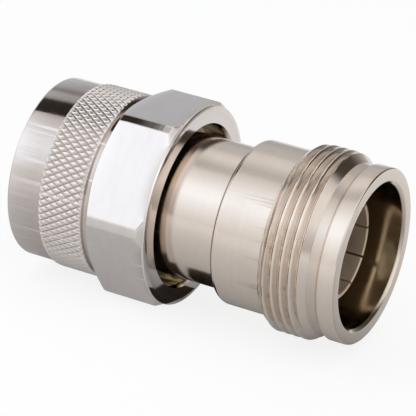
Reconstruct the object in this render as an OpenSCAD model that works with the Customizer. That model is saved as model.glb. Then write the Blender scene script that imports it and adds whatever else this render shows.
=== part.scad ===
// Coaxial adapter: screw-on plug with a free-turning coupling nut at one end,
// threaded jack with a slotted contact basket at the other.
// The axis lies along X and the jack's mouth faces +X. The origin is on the axis, at the middle of the jack's thread.
// Every turned outline lists [radius, place], with places counted from the mouth and negative towards the plug.

/* [Jack] */
// Outer diameter of the jack's thread
thread_d = 20; // [19.6:0.1:20.4]
// Length of full thread
thread_len = 3.35; // [3:0.05:5]
// Pitch of the thread
thread_pitch = 1; // [0.9:0.05:1.2]
// Depth of the thread
thread_depth = 0.6; // [0.4:0.05:0.65]
// Length of the tapered lead at the back of the thread
thread_lead = 0.83; // [0.4:0.05:1.2]
// Radial depth of that lead
lead_drop = 0.6; // [0.2:0.05:0.7]
// Length of the cone in front of the thread
cone_len = 1.1; // [0.8:0.05:1.4]
// Diameter of the collar at the mouth
collar_d = 18.7; // [18.2:0.1:19]
// Length of the collar with its neck
collar_len = 3.1; // [2.5:0.05:4]
// Diameter of the neck between collar and cone
neck_d_out = 18.2; // [17.8:0.1:18.6]
// Length of the neck
neck_len = 1.05; // [0.6:0.05:1.4]
// Length of the slope from neck to collar
neck_slope = 0.3; // [0.1:0.05:0.5]
// Break on the collar's front edge
collar_break = 0.2; // [0.1:0.05:0.6]
// Diameter of the barrel behind the thread
barrel_d = 17.7; // [17:0.1:18.4]
// Length of the barrel
barrel_len = 5.96; // [5.5:0.02:8]
// Radial depth of the break on the barrel's back edge
barrel_break = 0.59; // [0.2:0.05:0.8]
// Length of that break
barrel_break_len = 0.79; // [0.3:0.05:1.2]
// Diameter of the mouth
mouth_d = 15.4; // [14.6:0.1:16]
// Depth of the mouth's ring-shaped cavity
mouth_depth = 9.3; // [8:0.1:10]
// Break on the mouth's inner edge
mouth_break = 0.3; // [0.1:0.05:0.6]
// Thickness of the web that closes the cavity
web_t = 0.8; // [0.5:0.05:1.2]
// Diameter of the bore behind the web
socket_bore_d = 13.2; // [12.9:0.1:13.8]

/* [Contact basket] */
// Inner diameter of the basket
basket_id = 10; // [9.6:0.1:10.4]
// Wall of the basket
basket_wall = 0.6; // [0.4:0.05:0.8]
// Distance of the basket's tip behind the mouth
basket_setback = 3; // [2:0.1:4]
// Thickness of the basket's flange
basket_flange_t = 1.2; // [0.8:0.1:1.6]
// Break on the outside of the basket's tip
basket_break = 0.3; // [0.1:0.05:0.35]
// Number of slots
basket_slots = 10; // [6:1:12]
// Width of a slot
basket_slot_w = 0.25; // [0.15:0.05:0.5]
// Length of a slot
basket_slot_len = 5.2; // [4:0.1:6]
// Turn of the first slot about the axis
basket_slot_turn = 9.5; // [0:0.25:36]

/* [Centre line] */
// Diameter of the centre socket
centre_d = 4.3; // [4.1:0.1:4.5]
// Distance of the socket's tip behind the mouth
centre_setback = 3.7; // [3.1:0.1:5]
// Diameter of the socket's hole
centre_hole_d = 1.9; // [1.6:0.1:2.1]
// Depth of the socket's hole
centre_hole_len = 5.8; // [5:0.1:6.5]
// Width of the socket's four slots
centre_slot_w = 0.3; // [0.2:0.05:0.4]
// Length of those slots
centre_slot_len = 4.6; // [3:0.1:4.8]
// Break on the outside of the socket's tip
centre_break = 0.25; // [0.1:0.05:0.4]
// Diameter of the collar that holds the socket behind its bead
centre_collar_d = 5.2; // [4.8:0.1:5.6]
// Length of that collar
centre_collar_len = 0.6; // [0.4:0.1:1]
// Diameter of the plug's pin at its shank and of the socket's tail
shank_d = 3.04; // [2.8:0.02:3.2]
// Length of the shank
shank_len = 4.9; // [4:0.1:5.6]
// Diameter of the pin's tip
tip_d = 1.64; // [1.5:0.02:1.7]
// Distance of the pin's tip behind the contact sleeve's end
tip_setback = 0.4; // [0.2:0.1:0.8]
// Diameter of the pin inside its bead
neck_d = 2.3; // [2.1:0.1:2.5]
// Diameter of the screwed stub that joins pin and socket
stub_d = 1.8; // [1.6:0.1:1.9]
// Length of that stub
stub_len = 3.5; // [2.5:0.1:4]

/* [Stem] */
// Diameter of the plain stem
stem_d = 15.32; // [14.9:0.02:15.5]
// Length of bare stem between the barrel and the nut
stem_bare = 6.26; // [4:0.02:9]
// Break on the stem's front edge
stem_break = 0.3; // [0.1:0.05:0.4]
// Diameter of the jack bead's seat in the spigot
bead_seat_d = 10.8; // [10.6:0.1:11]
// Thickness of the jack's bead
jack_bead_t = 3; // [2.4:0.1:3.6]
// Length of the wide line bore behind the jack's bead
wide_line_len = 2; // [1.5:0.1:3]
// Diameter of the narrow line bore
narrow_line_d = 6.4; // [6:0.1:6.6]
// Outer diameter of the plug's contact sleeve
sleeve_d = 8.1; // [8:0.02:8.2]
// Inner diameter of that sleeve
sleeve_id = 7; // [6.9:0.02:7.1]
// Reach of the sleeve beyond the gasket's seat
sleeve_len = 9.3; // [9:0.1:9.8]
// Break on the sleeve's end
sleeve_break = 0.2; // [0.05:0.05:0.3]
// Thickness of the plug's bead
plug_bead_t = 3.5; // [2.5:0.1:4]
// Distance of the plug's bead behind the gasket's seat
plug_bead_back = 0.9; // [0.4:0.1:1.5]

/* [Seals and ring] */
// Inner diameter of the gasket
gasket_id = 9.6; // [9.4:0.1:10]
// Outer diameter of the gasket
gasket_od = 14; // [13.2:0.1:14.2]
// Thickness of the gasket
gasket_t = 1.2; // [0.9:0.05:1.4]
// Cord diameter of the seal between stem and jack
seal_d = 0.62; // [0.5:0.02:0.7]
// Width of the seal's groove
seal_groove_w = 1; // [0.9:0.05:1.2]
// Distance of the seal's groove from the spigot's root
seal_groove_back = 0.9; // [0.5:0.1:1.2]
// Thickness of the snap ring
ring_t = 0.9; // [0.6:0.05:1.1]
// Depth of the snap ring's groove in the stem
ring_groove = 0.6; // [0.4:0.05:0.7]
// Outer diameter of the snap ring
ring_od = 16.6; // [16.2:0.1:17]
// Gap between the snap ring's ends
ring_split = 1.6; // [1:0.1:2.5]
// Distance of the snap ring's groove behind the stem's front face
ring_back = 1.75; // [1.4:0.05:2.2]

/* [Coupling nut] */
// Length of the nut
nut_len = 17.17; // [16.2:0.01:18]
// Hexagon across its flats
hex_af = 20; // [19.4:0.1:20.2]
// Diameter of the blank that the hexagon's corners keep
hex_blank_d = 22.54; // [22.2:0.02:22.8]
// Length of the hexagon with its flange and its front cone
hex_w = 7.65; // [6.5:0.05:8]
// Diameter of the round flange behind the hexagon
flange_d = 21.62; // [21.2:0.02:22]
// Thickness of that flange
flange_t = 0.35; // [0.2:0.05:0.8]
// Radial depth of the break on the flange's edge
flange_break = 0.5; // [0.2:0.05:0.6]
// Length of that break
flange_break_len = 0.15; // [0.1:0.05:0.3]
// Slope of the hexagon's corners down to the flange
back_cone = 44; // [30:1:50]
// Slope of the front cone
front_cone = 30; // [20:1:35]
// Diameter of the plain ring between hexagon and grip
neck_ring_d = 19.2; // [18.8:0.1:19.6]
// Width of that ring
neck_ring_w = 0.5; // [0.3:0.05:0.8]
// Diameter of the grip
grip_d = 20.1; // [19.7:0.1:20.3]
// Width of the grip
grip_w = 5.08; // [4:0.02:6]
// Diameter of the plain skirt in front of the grip
skirt_d = 19.55; // [19.2:0.05:19.7]
// Break on the skirt's front edge
skirt_break = 0.3; // [0.1:0.05:0.5]
// Diameter of the nut's back bore
back_bore_d = 17.4; // [17:0.02:18.2]
// Depth of the back bore
back_bore_len = 2.95; // [2:0.05:3.2]
// Break on the back bore's edge
back_bore_break = 0.25; // [0.1:0.05:0.6]
// Bore of the nut's thread
nut_thread_id = 14.8; // [14.6:0.05:15]
// Pitch of the nut's thread
nut_thread_pitch = 1.058; // [1:0.002:1.3]
// Depth of the nut's thread
nut_thread_depth = 0.55; // [0.4:0.05:0.6]
// Diameter of the relief behind the nut's thread
relief_d = 16.1; // [15.9:0.1:16.4]
// Length of that relief
relief_len = 1; // [0.6:0.1:1.4]
// Break on the nut's front edge, inside
nut_mouth_break = 0.8; // [0.4:0.05:1]

/* [Fits] */
// Radial gap of a pressed or screwed fit
seat_gap = 0.02; // [0.01:0.01:0.03]
// Radial gap of the turning nut on the stem
run_gap = 0.06; // [0.04:0.01:0.1]
// Gap on each side of the snap ring in the stem's groove
ring_side_gap = 0.05; // [0.03:0.01:0.1]
// Float on each side of the snap ring in the nut's groove
ring_float = 0.2; // [0.1:0.05:0.3]
// Gap around the snap ring in the nut's groove
ring_round_gap = 0.15; // [0.1:0.05:0.3]
// Space between the gasket and the nut's thread
gasket_space = 0.3; // [0.1:0.05:0.5]

/* [Hidden] */

arc_steps = 96;
cut_spare = 1;
groove_spare = 0.1;
thread_floor = 0.12;
first_groove_back = 0.2;

// radii
thread_r = thread_d / 2;
collar_r = collar_d / 2;
neck_r = neck_d_out / 2;
barrel_r = barrel_d / 2;
mouth_r = mouth_d / 2;
stem_r = stem_d / 2;
socket_bore_r = socket_bore_d / 2;
basket_r = basket_id / 2 + basket_wall;
bead_seat_r = bead_seat_d / 2;
ring_seat_r = stem_r - ring_groove;
hex_blank_r = hex_blank_d / 2;
flange_r = flange_d / 2;

// places along the axis, from the mouth
thread_front = -collar_len - cone_len;
thread_back = thread_front - thread_len;
barrel_front = thread_back - thread_lead;
jack_back = barrel_front - barrel_len;
web_back = -mouth_depth - web_t;
flange_back = web_back - basket_flange_t;
jack_bead_back = flange_back - jack_bead_t;
wide_line_back = jack_bead_back - wide_line_len;
nut_back = jack_back - stem_bare;
nut_front = nut_back - nut_len;
neck_ring_back = nut_back - hex_w;
grip_back = neck_ring_back - neck_ring_w;
skirt_back = grip_back - grip_w;
thread_start = grip_back;
gasket_seat = thread_start + gasket_space + gasket_t;
sleeve_end = gasket_seat - sleeve_len;
plug_bead_front = gasket_seat + plug_bead_back;
plug_bead_back_face = plug_bead_front + plug_bead_t;
shank_front = plug_bead_front - shank_len;
ring_groove_front = gasket_seat + ring_back;
ring_groove_w = ring_t + 2 * ring_side_gap;
ring_front = ring_groove_front + ring_side_gap;
mouth_x = -(thread_front + thread_back) / 2;

// turns an outline about the axis and sets it in place
module turned(outline) {
    translate([mouth_x, 0, 0])
        rotate([0, 90, 0])
            rotate_extrude($fn = arc_steps)
                polygon(outline);
}

// a plain ring between two radii and two places
module ring(inner, outer, front, back) {
    turned([[inner, front], [outer, front], [outer, back], [inner, back]]);
}

// the cutter of one thread groove, a ring with sides at 30 degrees: floor at radius "deep", open at radius "open"
module groove(deep, open, place) {
    floor_half = thread_floor / 2;
    open_half = floor_half + abs(open - deep) * tan(30);
    turned([
        [deep, place + floor_half],
        [open, place + open_half],
        [open, place - open_half],
        [deep, place - floor_half]
    ]);
}

// thin radial slots cut from a tip at place "front", through a wall between two radii
module slots(count, width, length, front, inner, outer, turn) {
    start = inner * 0.7;
    for (i = [0 : count - 1])
        rotate([turn + i * 360 / count, 0, 0])
            translate([mouth_x + front - length, start, -width / 2])
                cube([length + cut_spare, outer + cut_spare - start, width]);
}

// the cutter of the hexagon's six flats, from the flange to the middle of the neck ring
module flats() {
    back = nut_back - flange_t;
    front = neck_ring_back - neck_ring_w / 2;
    for (i = [0 : 5])
        rotate([i * 60, 0, 0])
            translate([mouth_x + front, -hex_blank_r, hex_af / 2])
                cube([back - front, 2 * hex_blank_r, hex_blank_r]);
}

module coupling_nut() {
    run_r = stem_r + run_gap;
    groove_r = ring_od / 2 + ring_round_gap;
    groove_front = ring_front - ring_float;
    groove_back = ring_front + ring_t + ring_float;
    relief_back = thread_start + relief_len;
    thread_r_in = nut_thread_id / 2;
    grooves = floor((nut_len - hex_w - neck_ring_w - nut_mouth_break) / nut_thread_pitch - 0.5);
    color("#c8c1b9")
        difference() {
            turned([
                [0, nut_back],
                [flange_r - flange_break, nut_back],
                [flange_r, nut_back - flange_break_len],
                [flange_r, nut_back - flange_t],
                [hex_blank_r, nut_back - flange_t - (hex_blank_r - flange_r) * tan(back_cone)],
                [hex_blank_r, neck_ring_back + (hex_blank_r - neck_ring_d / 2) * tan(front_cone)],
                [neck_ring_d / 2, neck_ring_back],
                [neck_ring_d / 2, grip_back],
                [grip_d / 2, grip_back],
                [grip_d / 2, skirt_back],
                [skirt_d / 2, skirt_back],
                [skirt_d / 2, nut_front + skirt_break],
                [skirt_d / 2 - skirt_break, nut_front],
                [0, nut_front]
            ]);
            flats();
            turned([
                [0, nut_back + cut_spare],
                [back_bore_d / 2 + back_bore_break, nut_back + cut_spare],
                [back_bore_d / 2 + back_bore_break, nut_back],
                [back_bore_d / 2, nut_back - back_bore_break],
                [back_bore_d / 2, nut_back - back_bore_len],
                [run_r, nut_back - back_bore_len],
                [run_r, groove_back],
                [groove_r, groove_back],
                [groove_r, groove_front],
                [run_r, groove_front],
                [run_r, relief_back],
                [relief_d / 2, relief_back],
                [relief_d / 2, thread_start],
                [nut_thread_id / 2, thread_start],
                [nut_thread_id / 2, nut_front + nut_mouth_break],
                [nut_thread_id / 2 + nut_mouth_break, nut_front],
                [nut_thread_id / 2 + nut_mouth_break, nut_front - cut_spare],
                [0, nut_front - cut_spare]
            ]);
            for (i = [1 : grooves])
                groove(thread_r_in + nut_thread_depth, thread_r_in - groove_spare,
                       nut_front + (i + 0.5) * nut_thread_pitch);
        }
}

module snap_ring() {
    color("#b98a4e")
        difference() {
            ring(ring_seat_r + ring_side_gap, ring_od / 2, ring_front, ring_front + ring_t);
            slots(1, ring_split, ring_t + cut_spare, ring_front + ring_t, ring_seat_r, ring_od / 2, 90);
        }
}

module plug_gasket() {
    color("#7a2f28")
        ring(gasket_id / 2, gasket_od / 2, gasket_seat, gasket_seat - gasket_t);
}

module plug_body() {
    spigot_r = socket_bore_r - seat_gap;
    seal_floor = socket_bore_r - seal_d - 2 * seat_gap;
    seal_front = jack_back + seal_groove_back;
    color("#c3bbb1")
        turned([
            [bead_seat_r, flange_back],
            [spigot_r, flange_back],
            [spigot_r, seal_front + seal_groove_w],
            [seal_floor, seal_front + seal_groove_w],
            [seal_floor, seal_front],
            [spigot_r, seal_front],
            [spigot_r, jack_back],
            [stem_r, jack_back],
            [stem_r, ring_groove_front + ring_groove_w],
            [ring_seat_r, ring_groove_front + ring_groove_w],
            [ring_seat_r, ring_groove_front],
            [stem_r, ring_groove_front],
            [stem_r, gasket_seat + stem_break],
            [stem_r - stem_break, gasket_seat],
            [sleeve_d / 2, gasket_seat],
            [sleeve_d / 2, sleeve_end + sleeve_break],
            [sleeve_d / 2 - sleeve_break, sleeve_end],
            [sleeve_id / 2, sleeve_end],
            [sleeve_id / 2, plug_bead_back_face],
            [narrow_line_d / 2, plug_bead_back_face],
            [narrow_line_d / 2, wide_line_back],
            [basket_id / 2, wide_line_back],
            [basket_id / 2, jack_bead_back],
            [bead_seat_r, jack_bead_back]
        ]);
}

module plug_insulator() {
    color("#f2efe6")
        ring(neck_d / 2 + seat_gap, sleeve_id / 2 - seat_gap, plug_bead_front, plug_bead_back_face);
}

module plug_pin() {
    point = tip_d / 4;
    color("#d9b45a")
        turned([
            [0, plug_bead_back_face + stub_len],
            [stub_d / 2, plug_bead_back_face + stub_len],
            [stub_d / 2, plug_bead_back_face],
            [neck_d / 2, plug_bead_back_face],
            [neck_d / 2, plug_bead_front],
            [shank_d / 2, plug_bead_front],
            [shank_d / 2, shank_front],
            [tip_d / 2, shank_front],
            [tip_d / 2, sleeve_end + tip_setback + 2 * point],
            [tip_d / 2 - point, sleeve_end + tip_setback],
            [0, sleeve_end + tip_setback]
        ]);
}

// The thread is a row of ring grooves here; its crests and the cone and lead at its ends are whole.
module jack_body() {
    grooves = floor((thread_len + first_groove_back) / thread_pitch);
    color("#c6beb5")
        difference() {
            jack_blank();
            for (i = [0 : grooves])
                groove(thread_r - thread_depth, thread_r + groove_spare,
                       thread_back - first_groove_back + i * thread_pitch);
        }
}

module jack_blank() {
    turned([
        [mouth_r + mouth_break, 0],
        [collar_r - collar_break, 0],
        [collar_r, -collar_break],
        [collar_r, neck_len + neck_slope - collar_len],
        [neck_r, neck_len - collar_len],
        [neck_r, -collar_len],
        [thread_r, thread_front],
        [thread_r, thread_back],
        [thread_r - lead_drop, barrel_front],
        [barrel_r, barrel_front],
        [barrel_r, jack_back + barrel_break_len],
        [barrel_r - barrel_break, jack_back],
        [socket_bore_r, jack_back],
        [socket_bore_r, web_back],
        [basket_r + seat_gap, web_back],
        [basket_r + seat_gap, -mouth_depth],
        [mouth_r, -mouth_depth],
        [mouth_r, -mouth_break]
    ]);
}

module body_seal() {
    color("#2b2b2d")
        translate([mouth_x + jack_back + seal_groove_back + seal_groove_w / 2, 0, 0])
            rotate([0, 90, 0])
                rotate_extrude($fn = arc_steps)
                    translate([socket_bore_r - seat_gap - seal_d / 2, 0])
                        circle(d = seal_d, $fn = 48);
}

module jack_basket() {
    color("#b9ab98")
        difference() {
            turned([
                [basket_id / 2, -basket_setback],
                [basket_r - basket_break, -basket_setback],
                [basket_r, -basket_setback - basket_break],
                [basket_r, web_back],
                [socket_bore_r - seat_gap, web_back],
                [socket_bore_r - seat_gap, flange_back],
                [basket_id / 2, flange_back]
            ]);
            slots(basket_slots, basket_slot_w, basket_slot_len, -basket_setback, basket_id / 2, basket_r,
                  basket_slot_turn);
        }
}

module jack_insulator() {
    color("#f2efe6")
        ring(centre_d / 2 + seat_gap, bead_seat_r - seat_gap, flange_back, jack_bead_back);
}

module jack_socket() {
    hole_r = centre_hole_d / 2;
    color("#d9b45a")
        difference() {
            turned([
                [hole_r + centre_break, -centre_setback],
                [centre_d / 2 - centre_break, -centre_setback],
                [centre_d / 2, -centre_setback - centre_break],
                [centre_d / 2, jack_bead_back],
                [centre_collar_d / 2, jack_bead_back],
                [centre_collar_d / 2, jack_bead_back - centre_collar_len],
                [shank_d / 2, jack_bead_back - centre_collar_len],
                [shank_d / 2, plug_bead_back_face],
                [stub_d / 2 + seat_gap, plug_bead_back_face],
                [stub_d / 2 + seat_gap, plug_bead_back_face + stub_len + seat_gap],
                [0, plug_bead_back_face + stub_len + seat_gap],
                [0, -centre_setback - centre_hole_len],
                [hole_r, -centre_setback - centre_hole_len],
                [hole_r, -centre_setback - centre_break]
            ]);
            slots(4, centre_slot_w, centre_slot_len, -centre_setback, hole_r, centre_d / 2, 45);
        }
}

coupling_nut();
snap_ring();
plug_gasket();
plug_body();
plug_insulator();
plug_pin();
jack_body();
body_seal();
jack_basket();
jack_insulator();
jack_socket();
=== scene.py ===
"""Coaxial adapter with a screw-on plug and a threaded jack, dressed around its packed solids.

Every piece is turned about the X axis. Lengths are in metres, and places are X coordinates in the frame
of the solids: the origin is at the middle of the jack's thread and the jack's mouth faces +X.
"""

import math

import bpy
import numpy as np
from bpy.props import FloatProperty, FloatVectorProperty, IntProperty, PointerProperty
from bpy.types import NodeSocket, Operator, Panel, PropertyGroup
from mathutils import Matrix, Vector


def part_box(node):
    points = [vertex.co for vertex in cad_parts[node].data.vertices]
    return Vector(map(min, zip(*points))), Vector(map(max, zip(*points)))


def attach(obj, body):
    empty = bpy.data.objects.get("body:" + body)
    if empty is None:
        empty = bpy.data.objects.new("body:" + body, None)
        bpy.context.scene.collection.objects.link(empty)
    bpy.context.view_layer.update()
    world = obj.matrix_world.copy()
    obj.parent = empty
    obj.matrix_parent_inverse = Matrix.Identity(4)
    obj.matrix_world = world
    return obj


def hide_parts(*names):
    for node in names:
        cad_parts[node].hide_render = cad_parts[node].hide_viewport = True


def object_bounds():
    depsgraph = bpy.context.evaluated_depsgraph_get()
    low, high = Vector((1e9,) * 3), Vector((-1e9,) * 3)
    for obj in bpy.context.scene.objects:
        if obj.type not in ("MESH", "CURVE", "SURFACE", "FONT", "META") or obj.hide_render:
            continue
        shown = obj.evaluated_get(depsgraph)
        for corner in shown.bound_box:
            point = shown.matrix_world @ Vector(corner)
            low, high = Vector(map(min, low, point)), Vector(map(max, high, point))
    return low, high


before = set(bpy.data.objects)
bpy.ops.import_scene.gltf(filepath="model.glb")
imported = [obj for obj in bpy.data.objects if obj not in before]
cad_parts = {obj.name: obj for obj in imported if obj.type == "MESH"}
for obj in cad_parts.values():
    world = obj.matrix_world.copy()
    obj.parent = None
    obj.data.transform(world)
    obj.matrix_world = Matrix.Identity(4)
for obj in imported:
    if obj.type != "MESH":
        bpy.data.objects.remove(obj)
cad_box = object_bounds()

bl_info = {
    "name": "Threaded Coaxial Adapter",
    "version": (1, 0, 0),
    "blender": (4, 5, 0),
    "location": "View3D > Sidebar > Adapter",
    "description": "Builds the nut, jack, stem, contacts and beads of a coaxial adapter, and its studio",
    "category": "Object",
}

MM = 0.001
HAIR = 0.01 * MM
FIT = 0.02 * MM
FULL_TURN = 2 * math.pi
BODY_COLUMNS = 288
BORE_COLUMNS = 156
SMOOTH_ANGLE = math.radians(32)
FILLET_STEP = math.radians(16)
KNURL_CELLS = 8
# darker, browner colour painted inside the bores as their shade
BORE_SHADE_TONE = (0.75, 0.7, 0.56)
# warm tone of handling dirt, and of the dirt and painted shade in the hollows
GRIME_AND_SHADE_TONE = (0.8, 0.68, 0.56)
LEVEL_BEND = 0.5  # pointiness of a face that doesn't bend
FAR_BACK = -1.0  # behind every piece
SCREEN_ENDS = (-95 * MM, -40.5 * MM)
SCREEN_RADIUS = 60 * MM
FLOOR_REACH = 3.0
CAMERA_GLOW = 1.1
CAMERA_SHARE = 0.76
MIRROR_SHARE = 0.65

JACK_BACK, MOUTH = (end.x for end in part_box("jack_body"))
NUT_FRONT, NUT_BACK = (end.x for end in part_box("coupling_nut"))
SLEEVE_END, SPIGOT_END = (end.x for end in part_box("plug_body"))
BASKET_BACK, BASKET_TIP = (end.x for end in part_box("jack_basket"))
SOCKET_END, SOCKET_TIP = (end.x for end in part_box("jack_socket"))
PIN_TIP, STUB_END = (end.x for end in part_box("plug_pin"))
RING_FRONT, RING_BACK = (end.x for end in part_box("snap_ring"))
JACK_BEAD_BACK, JACK_BEAD_FRONT = (end.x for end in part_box("jack_insulator"))
PLUG_BEAD_FRONT, PLUG_BEAD_BACK = (end.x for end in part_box("plug_insulator"))
GASKET_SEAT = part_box("plug_gasket")[1].x
FLOOR_HEIGHT = cad_box[0].z


def setting(kind, description, default, **limits):
    return kind, {"description": description, "default": default, **limits}


def size(description, millimetres):
    return setting(FloatProperty, description, millimetres * MM, min=0.0, unit="LENGTH", precision=5)


def slope(description, degrees):
    return setting(FloatProperty, description, math.radians(degrees), subtype="ANGLE")


def tint(description, colour):
    return setting(FloatVectorProperty, description, colour, min=0.0, max=1.0, size=3, subtype="COLOR")


def share(description, value):
    return setting(FloatProperty, description, value, min=0.0, max=1.0, subtype="FACTOR")


def count(description, number):
    return setting(IntProperty, description, number, min=2)


def number(description, value):
    return setting(FloatProperty, description, value, min=0.0)


def named(group):
    """Makes the properties of a group from its settings, each named after its key."""
    for key, (kind, details) in group.__annotations__.items():
        group.__annotations__[key] = kind(name=key.replace("_", " ").capitalize(), **details)
    return group


@named
class JackSizes(PropertyGroup):
    """Sizes of the threaded jack."""

    mouth_radius: size("Bore of the ring-shaped cavity", 7.7)
    mouth_depth: size("Depth of the ring-shaped cavity", 9.3)
    mouth_break: size("Break on the mouth's inner edge", 0.3)
    collar_radius: size("Plain collar in front of the thread", 9.35)
    collar_length: size("Length of the collar with its neck", 3.1)
    collar_round: size("Rounding of the collar's front edge", 0.2)
    neck_radius: size("Neck between collar and cone", 9.1)
    neck_length: size("Length of the neck", 1.05)
    neck_slope: size("Length of the slope from neck to collar", 0.3)
    cone_length: size("Length of the cone in front of the thread", 1.1)
    thread_radius: size("Crest of the thread", 10.0)
    thread_length: size("Length of full thread", 3.35)
    thread_pitch: size("Distance from crest to crest", 1.0)
    thread_depth: size("Depth of the thread", 0.6)
    lead_length: size("Tapered lead behind the thread", 0.83)
    lead_drop: size("Radial depth of that lead", 0.6)
    barrel_radius: size("Plain barrel behind the thread", 8.85)
    barrel_round: size("Rounding of the barrel's back edge", 0.7)
    socket_bore: size("Bore that takes the stem's spigot", 6.6)
    web_hole: size("Hole for the basket in the web", 5.62)
    web_thickness: size("Web that closes the cavity", 0.8)
    thread_start: slope("Turn of the thread about the axis", 307.5)


@named
class ContactSizes(PropertyGroup):
    """Sizes of the contact basket and the centre line."""

    basket_bore: size("Inside of the basket", 5.0)
    basket_wall: size("Wall of the basket", 0.6)
    basket_flange: size("Thickness of the basket's flange", 1.2)
    basket_slots: count("Slots round the basket", 10)
    slot_width: size("Width of a basket slot", 0.25)
    slot_length: size("Length of a basket slot", 5.2)
    slot_turn: slope("Turn of the first slot about the axis", 9.5)
    socket_radius: size("Outside of the centre socket", 2.15)
    socket_hole: size("Hole of the centre socket", 0.95)
    socket_depth: size("Depth of that hole", 5.8)
    socket_slot: size("Width of the socket's four slots", 0.3)
    socket_slot_length: size("Length of those slots", 4.6)
    socket_collar: size("Collar that holds the socket behind its bead", 2.6)
    shank_radius: size("Pin shank and socket tail", 1.52)
    shank_length: size("Length of the pin's shank", 4.9)
    tip_radius: size("Tip of the centre pin", 0.82)
    neck_radius: size("Pin inside its bead", 1.15)
    stub_radius: size("Screwed stub between pin and socket", 0.9)
    jack_bead: size("Thickness of the jack's bead", 3.0)
    jack_bead_radius: size("Outside of the jack's bead", 5.38)


@named
class StemSizes(PropertyGroup):
    """Sizes of the stem with its contact sleeve."""

    stem_radius: size("Plain stem", 7.66)
    stem_break: size("Break on the stem's front edge", 0.3)
    ring_groove: size("Depth of the snap ring's groove", 0.6)
    ring_groove_width: size("Width of that groove", 1.0)
    ring_groove_place: size("Distance of the groove behind the front face", 1.75)
    seal_groove_floor: size("Floor of the seal's groove", 5.94)
    sleeve_radius: size("Outside of the contact sleeve", 4.05)
    sleeve_bore: size("Inside of the contact sleeve", 3.5)
    line_bore: size("Narrow bore round the centre line", 3.2)
    gasket_inner: size("Hole of the flat gasket", 4.8)
    gasket_outer: size("Outside of the flat gasket", 7.0)
    gasket_thickness: size("Thickness of the flat gasket", 1.2)


@named
class NutSizes(PropertyGroup):
    """Sizes of the coupling nut."""

    across_flats: size("Hexagon across its flats", 20.0)
    blank_radius: size("Round blank that the hexagon's corners keep", 11.27)
    hexagon_length: size("Hexagon with its flange and its front cone", 7.65)
    flange_radius: size("Round flange behind the hexagon", 10.81)
    flange_thickness: size("Thickness of that flange", 0.35)
    flange_break: size("Radial depth of the break on the flange's edge", 0.5)
    flange_break_length: size("Length of that break", 0.15)
    back_slope: slope("Slope of the corners down to the flange", 44)
    front_slope: slope("Slope of the front cone", 30)
    neck_radius: size("Plain ring between hexagon and grip", 9.6)
    neck_width: size("Width of that ring", 0.5)
    grip_radius: size("Top of the knurl", 10.05)
    grip_width: size("Width of the knurled grip", 5.08)
    knurl_depth: size("Depth of the knurl", 0.22)
    knurl_diamonds: count("Diamonds round the grip", 78)
    knurl_rows: count("Diamonds along the grip", 4)
    skirt_radius: size("Plain skirt in front of the grip", 9.775)
    skirt_round: size("Rounding of the skirt's front edge", 0.3)
    back_bore: size("Recess at the nut's back", 8.7)
    back_bore_depth: size("Depth of that recess", 2.95)
    back_bore_break: size("Radial depth of the break on the recess's edge", 0.25)
    back_bore_break_length: size("Length of that break", 0.5)
    run_radius: size("Bore that turns on the stem", 7.72)
    ring_radius: size("Groove for the snap ring", 8.45)
    relief_radius: size("Relief behind the nut's thread", 8.05)
    relief_length: size("Length of that relief", 1.0)
    thread_bore: size("Crest of the nut's thread", 7.4)
    thread_depth: size("Depth of the nut's thread", 0.55)
    thread_pitch: size("24 threads to the inch", 1.0583)
    mouth_break: size("Break on the front edge, inside", 0.8)


@named
class Finishes(PropertyGroup):
    """Colours and polish of the metals, beads and rubber."""

    nut_plating: tint("White bronze on the coupling nut", (0.78, 0.725, 0.7))
    body_plating: tint("White bronze on the stem and jack", (0.78, 0.69, 0.615))
    basket_metal: tint("Silver-plated spring metal, a little toned", (0.86, 0.76, 0.64))
    contact_metal: tint("Bright silver plate on the centre line", (0.86, 0.81, 0.74))
    spring_bronze: tint("Snap ring", (0.62, 0.42, 0.22))
    bead_white: tint("Waxy insulator", (0.86, 0.85, 0.81))
    gasket_red: tint("Flat silicone gasket", (0.42, 0.12, 0.09))
    seal_black: tint("Seal between stem and jack", (0.035, 0.035, 0.037))
    nut_roughness: share("Roughness of the nut's plating", 0.06)
    body_roughness: share("Roughness of the body's plating", 0.12)


@named
class StudioSettings(PropertyGroup):
    """Camera, floor and light."""

    camera_azimuth: slope("Turn of the camera round the part", 25.6788)
    camera_elevation: slope("Height of the camera above the horizon", 21.4021)
    camera_roll: slope("Tilt of the picture", 6.085)
    camera_distance: size("Distance from camera to target", 276.7)
    camera_target: setting(
        FloatVectorProperty,
        "Point in the middle of the picture",
        (-0.013204, -0.0000116, 0.0001754),
        subtype="TRANSLATION",
        unit="LENGTH",
        precision=6,
    )
    lens: number("Focal length in millimetres", 228.7)
    tent_radius: size("Radius of the light tent round the part", 620.0)
    tent_level: number("Brightness of the light tent", 1.28)
    floor_colour: tint("Pale floor", (0.82, 0.82, 0.82))


# ---- turned skins ----


def put(name, data):
    """A new object in the scene."""
    piece = bpy.data.objects.new(name, data)
    bpy.context.scene.collection.objects.link(piece)
    return piece


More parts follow.
